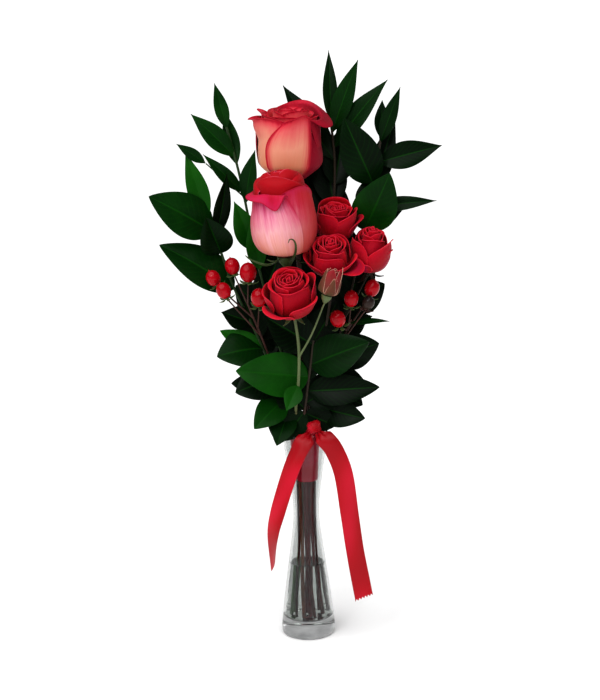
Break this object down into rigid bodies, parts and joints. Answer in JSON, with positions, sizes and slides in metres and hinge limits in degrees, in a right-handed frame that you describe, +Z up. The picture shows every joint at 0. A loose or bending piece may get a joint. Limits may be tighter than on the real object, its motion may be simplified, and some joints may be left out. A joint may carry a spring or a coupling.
{
  "type": "roses in a bud vase",
  "caption": "Hand-tied bunch of roses, spray roses, hypericum berries and foliage, standing in a waisted clear glass bud vase with water, tied with a satin ribbon.",
  "frame": {"origin": "centre of the flat underside of the vase, on the surface it stands on", "axes": "+Z up along the vase's axis, -Y towards the front of the bunch, +X to the right seen from the front"},
  "size_m": [0.2764, 0.1289, 0.5712],
  "materials": {
    "glass": "clear, smooth, thick base",
    "water": "clear water, faintly green",
    "ribbon": "red satin weave",
    "rose_stem": "green to purple-brown stem, green calyx",
    "spray_stem": "pale olive green stem",
    "woody_stem": "reddish brown twig",
    "foliage_stem": "green stem with small leaves",
    "leaf": "glossy dark green leaf, paler beneath",
    "rose_core": "crimson inner petals, velvety",
    "rose_petal": "peach petal with a crimson rim",
    "spray_petal": "deep red velvety petals",
    "berry": "glossy red berry",
    "spent_berry": "dull dark spent berry"
  },
  "bodies": {
    "root": {"vase": "glass", "rose_upper_stem": "rose_stem", "rose_upper_bloom": "rose_core", "rose_upper_outer_petal_1": "rose_petal", "rose_upper_outer_petal_2": "rose_petal", "rose_upper_outer_petal_3": "rose_petal", "rose_lower_stem": "rose_stem", "rose_lower_bloom": "rose_core", "rose_lower_outer_petal_1": "rose_petal", "rose_lower_outer_petal_2": "rose_petal", "rose_lower_outer_petal_3": "rose_petal", "spray_rose_front_stem": "spray_stem", "spray_rose_a_bloom": "spray_petal", "spray_rose_bud": "spray_petal", "spray_rose_back_stem": "spray_stem", "spray_rose_b_bloom": "spray_petal", "spray_rose_c_bloom": "spray_petal", "spray_rose_d_bloom": "spray_petal", "hypericum_left_leaf_1": "leaf", "hypericum_left_leaf_2": "leaf", "hypericum_left_berry_1": "berry", "hypericum_left_berry_2": "berry", "hypericum_left_berry_3": "berry", "hypericum_left_berry_4": "berry", "hypericum_left_berry_5": "berry", "hypericum_left_stem": "woody_stem", "hypericum_right_berry_1": "berry", "hypericum_right_berry_2": "berry", "hypericum_right_berry_3": "berry", "hypericum_right_berry_4": "spent_berry", "hypericum_right_stem": "woody_stem", "foliage_left_tall_stem": "foliage_stem", "foliage_left_tall_leaf_1": "leaf", "foliage_left_tall_leaf_2": "leaf", "foliage_left_tall_leaf_3": "leaf", "foliage_left_tall_leaf_4": "leaf", "foliage_left_broad_stem": "foliage_stem", "foliage_left_broad_leaf_1": "leaf", "foliage_left_broad_leaf_2": "leaf", "foliage_left_broad_leaf_3": "leaf", "foliage_left_broad_leaf_4": "leaf", "foliage_left_broad_leaf_5": "leaf", "foliage_left_broad_leaf_6": "leaf", "foliage_right_tall_stem": "foliage_stem", "foliage_right_tall_leaf_1": "leaf", "foliage_right_tall_leaf_2": "leaf", "foliage_right_tall_leaf_3": "leaf", "foliage_right_broad_stem": "foliage_stem", "foliage_right_broad_leaf_1": "leaf", "foliage_right_broad_leaf_2": "leaf", "foliage_right_broad_leaf_3": "leaf", "foliage_low_stem": "foliage_stem", "foliage_low_leaf_1": "leaf", "foliage_low_leaf_2": "leaf", "foliage_low_leaf_3": "leaf", "water": "water", "ribbon_band": "ribbon", "ribbon_knot": "ribbon", "ribbon_tail_left": "ribbon", "ribbon_tail_right": "ribbon"}
  },
  "joints": []
}
